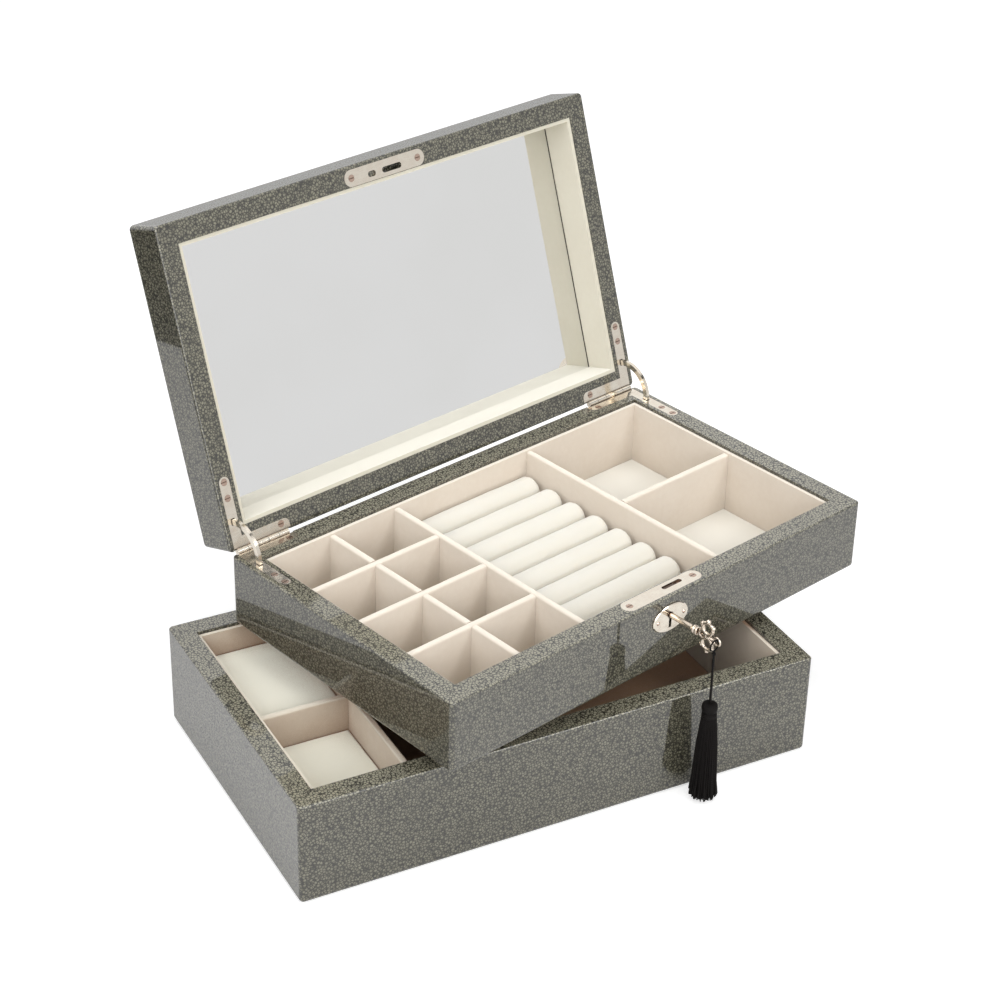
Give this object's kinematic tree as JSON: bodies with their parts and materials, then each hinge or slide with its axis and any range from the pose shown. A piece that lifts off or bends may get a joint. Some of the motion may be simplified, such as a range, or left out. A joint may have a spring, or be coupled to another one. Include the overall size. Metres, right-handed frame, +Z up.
{
  "type": "jewelry box",
  "caption": "Tiered jewelry box: mirrored lid on corner hinges with quadrant stays, divided tier with ring rolls, lower tray, lock, key and tassel.",
  "frame": {"origin": "centre of the lower tray's underside, on the surface it stands on", "axes": "+X to the right along the lower tray's front edge, +Y to the back, +Z up"},
  "size_m": [0.3644, 0.3285, 0.2798],
  "materials": {
    "shagreen_covering": "gloss lacquered shagreen-effect covering on board",
    "dark_board": "dark brown covering on board",
    "dark_felt": "short felt",
    "suede_lined_board": "cream suede on thin board",
    "suede_padding": "cream suede over foam",
    "rose_nickel": "polished rose-tinted nickel plating",
    "mirror_glass": "silvered flat glass",
    "black_yarn": "black viscose yarn"
  },
  "bodies": {
    "lower_tray": {"lower_tray_walls": "shagreen_covering", "lower_base_board": "dark_board", "lower_base_felt": "dark_felt", "lower_lining": "suede_lined_board", "lower_left_divider": "suede_lined_board", "lower_cross_divider": "suede_lined_board", "lower_rear_left_floor": "suede_padding", "lower_front_left_floor": "suede_padding", "lower_right_floor": "suede_padding"},
    "upper_tier": {"upper_tier_walls": "shagreen_covering", "upper_base_panel": "dark_board", "upper_plinth": "dark_board", "upper_plinth_felt": "dark_felt", "upper_lining": "suede_lined_board", "upper_floor_pad": "suede_padding", "upper_grid_long_divider": "suede_lined_board", "upper_grid_cross_divider_1": "suede_lined_board", "upper_grid_cross_divider_2": "suede_lined_board", "upper_grid_cross_divider_3": "suede_lined_board", "upper_bay_divider_left": "suede_lined_board", "upper_bay_divider_right": "suede_lined_board", "upper_right_cross_divider": "suede_lined_board", "ring_roll_1": "suede_padding", "ring_roll_2": "suede_padding", "ring_roll_3": "suede_padding", "ring_roll_4": "suede_padding", "ring_roll_5": "suede_padding", "ring_roll_6": "suede_padding", "ring_roll_7": "suede_padding", "ring_roll_8": "suede_padding", "lock_case": "rose_nickel", "selvedge_plate": "rose_nickel", "selvedge_screws": "rose_nickel", "escutcheon": "rose_nickel", "escutcheon_pins": "rose_nickel", "left_hinge_tier_leaf": "rose_nickel", "right_hinge_tier_leaf": "rose_nickel", "hinge_pins": "rose_nickel", "hinge_screws_tier": "rose_nickel"},
    "lid": {"lid_walls": "shagreen_covering", "lid_top_panel": "shagreen_covering", "lid_lining": "suede_lined_board", "mirror": "mirror_glass", "striker_plate": "rose_nickel", "striker_screws": "rose_nickel", "left_hinge_lid_leaf": "rose_nickel", "right_hinge_lid_leaf": "rose_nickel", "hinge_screws_lid": "rose_nickel"},
    "left_stay": {"left_stay_arm": "rose_nickel"},
    "right_stay": {"right_stay_arm": "rose_nickel"},
    "lock_bolt": {"lock_bolt": "rose_nickel"},
    "key": {"key": "rose_nickel"},
    "tassel": {"cord_loop": "black_yarn", "tassel_cord": "black_yarn", "tassel_head": "black_yarn", "tassel_skirt": "black_yarn"}
  },
  "joints": [
    {"name": "tier_lift", "type": "slide", "parent": "lower_tray", "child": "upper_tier", "axis": [0, 0, 1], "range_m": [0, 0.12]},
    {"name": "lid_hinge", "type": "hinge", "parent": "upper_tier", "child": "lid", "pos_m": [0.02497, 0.10425, 0.1103], "axis": [0.9681, 0.2504, 0], "range_deg": [0, 108]},
    {"name": "left_stay_slide", "type": "hinge", "parent": "upper_tier", "child": "left_stay", "pos_m": [0.02497, 0.10425, 0.1103], "axis": [0.9681, 0.2504, 0], "range_deg": [0, 54]},
    {"name": "right_stay_slide", "type": "hinge", "parent": "upper_tier", "child": "right_stay", "pos_m": [0.02497, 0.10425, 0.1103], "axis": [0.9681, 0.2504, 0], "range_deg": [0, 54]},
    {"name": "key_turn", "type": "hinge", "parent": "upper_tier", "child": "key", "pos_m": [0.07244, -0.07931, 0.099], "axis": [-0.2504, 0.9681, 0], "range_deg": [0, 90]},
    {"name": "bolt_throw", "type": "slide", "parent": "upper_tier", "child": "lock_bolt", "axis": [0, 0, 1], "range_m": [0, 0.006]},
    {"name": "tassel_swing", "type": "hinge", "parent": "upper_tier", "child": "tassel", "pos_m": [0.07666, -0.10229, 0.09733], "axis": [-0.2504, 0.9681, 0], "range_deg": [-6, 40]}
  ],
  "couplings": [
    {"joint": "left_stay_slide", "follows": "lid_hinge", "ratio": 0.5},
    {"joint": "right_stay_slide", "follows": "lid_hinge", "ratio": 0.5},
    {"joint": "key_turn", "follows": "bolt_throw", "rad_per_m": 261.8}
  ]
}
